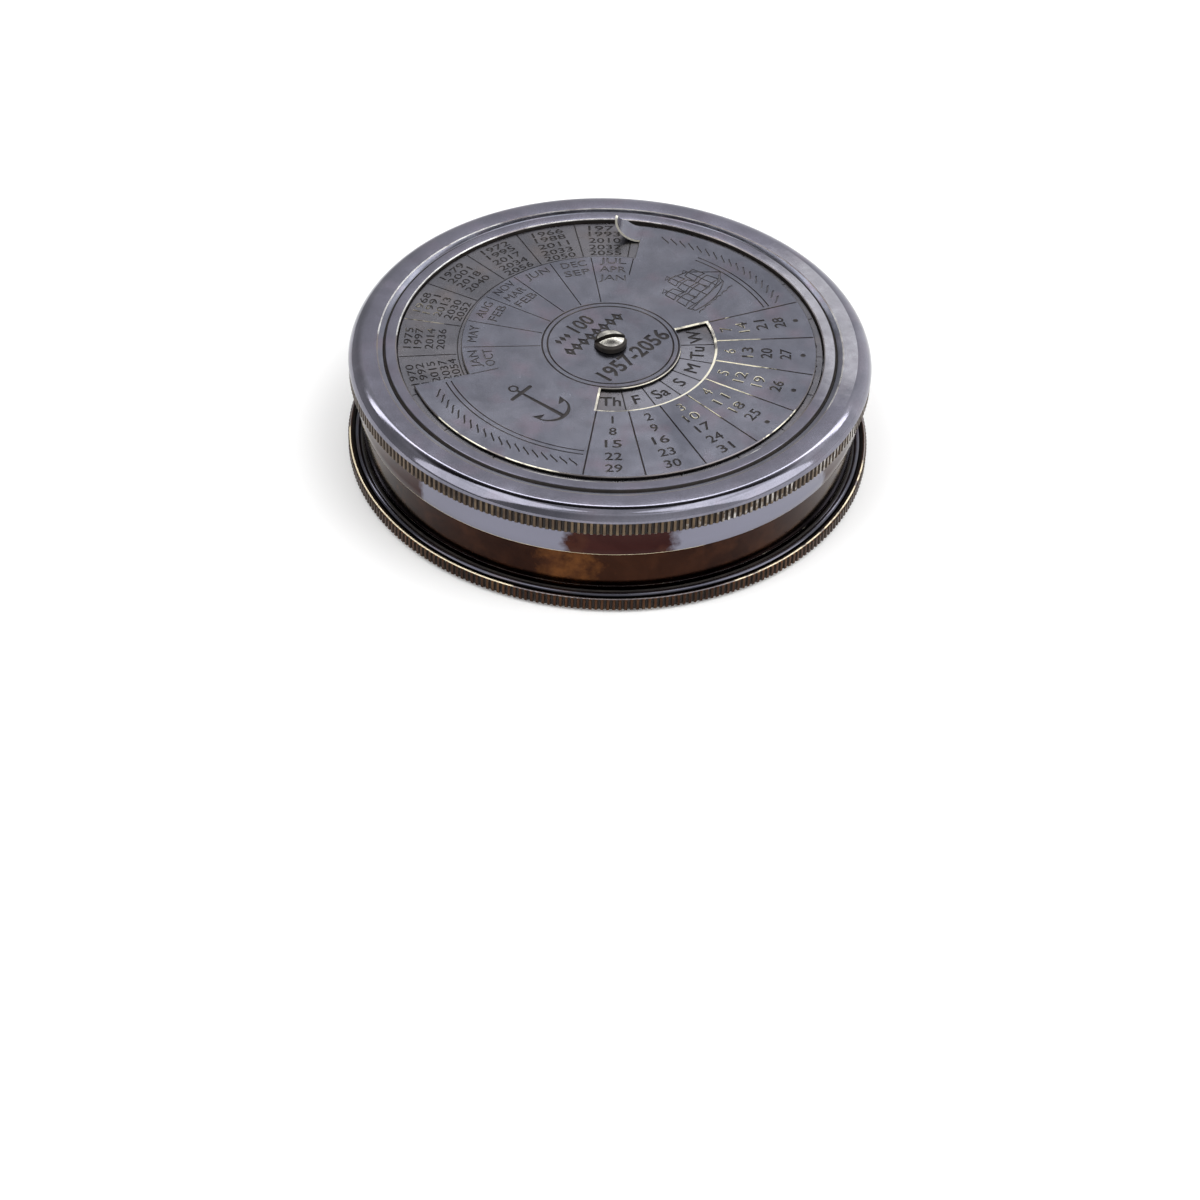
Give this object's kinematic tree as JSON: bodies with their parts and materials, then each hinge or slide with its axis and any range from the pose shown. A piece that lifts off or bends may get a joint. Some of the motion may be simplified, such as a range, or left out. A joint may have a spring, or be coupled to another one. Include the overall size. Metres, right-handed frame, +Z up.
{
  "type": "calendar compass",
  "caption": "Round dark brass compass with a knurled screw-on lid that carries a turning perpetual calendar disc over a fixed year plate.",
  "frame": {"origin": "centre of the standing ring under the base cap, on the standing plane", "axes": "+Z up along the common axis of the case, lid, disc and needle; +Y towards 12 o'clock of the calendar as pictured, where the finger tab stands"},
  "size_m": [0.078, 0.078, 0.0225],
  "materials": {
    "antiqued_brass": "antiqued to a dark grey, satin, with worn bright edges",
    "plain_brass": "turned and lacquered",
    "bright_steel": "bright turned",
    "card": "matt, printed",
    "needle": "blued, satin",
    "glass": "clear",
    "gasket": "matt"
  },
  "bodies": {
    "case": {"case_ring": "antiqued_brass", "base_cap": "antiqued_brass", "compass_card": "card", "card_screws": "plain_brass", "pivot_boss": "plain_brass", "pivot_pin": "bright_steel", "degree_ring": "plain_brass", "crystal_gasket": "gasket", "crystal": "glass", "retaining_ring": "plain_brass"},
    "centre_screw": {"pivot_screw": "bright_steel", "pivot_nut": "plain_brass", "lock_washer": "bright_steel"},
    "lid": {"lid_shell": "antiqued_brass", "year_plate": "antiqued_brass", "plate_pins": "plain_brass", "spacer_washer": "plain_brass"},
    "calendar": {"calendar_disc": "antiqued_brass"},
    "needle": {"needle_blade": "needle", "needle_hub": "plain_brass", "hub_jewel": "glass", "needle_weight": "plain_brass"}
  },
  "joints": [
    {"name": "lid_lift", "type": "slide", "parent": "case", "child": "centre_screw", "axis": [0, 0, 1], "range_m": [0, 0.06]},
    {"name": "lid_turn", "type": "hinge", "parent": "centre_screw", "child": "lid", "pos_m": [0, 0, 0.0157], "axis": [0, 0, 1], "continuous": true},
    {"name": "calendar_turn", "type": "hinge", "parent": "lid", "child": "calendar", "pos_m": [0, 0, 0.0175], "axis": [0, 0, 1], "continuous": true},
    {"name": "needle_turn", "type": "hinge", "parent": "case", "child": "needle", "pos_m": [0, 0, 0.0065], "axis": [0, 0, 1], "continuous": true}
  ]
}
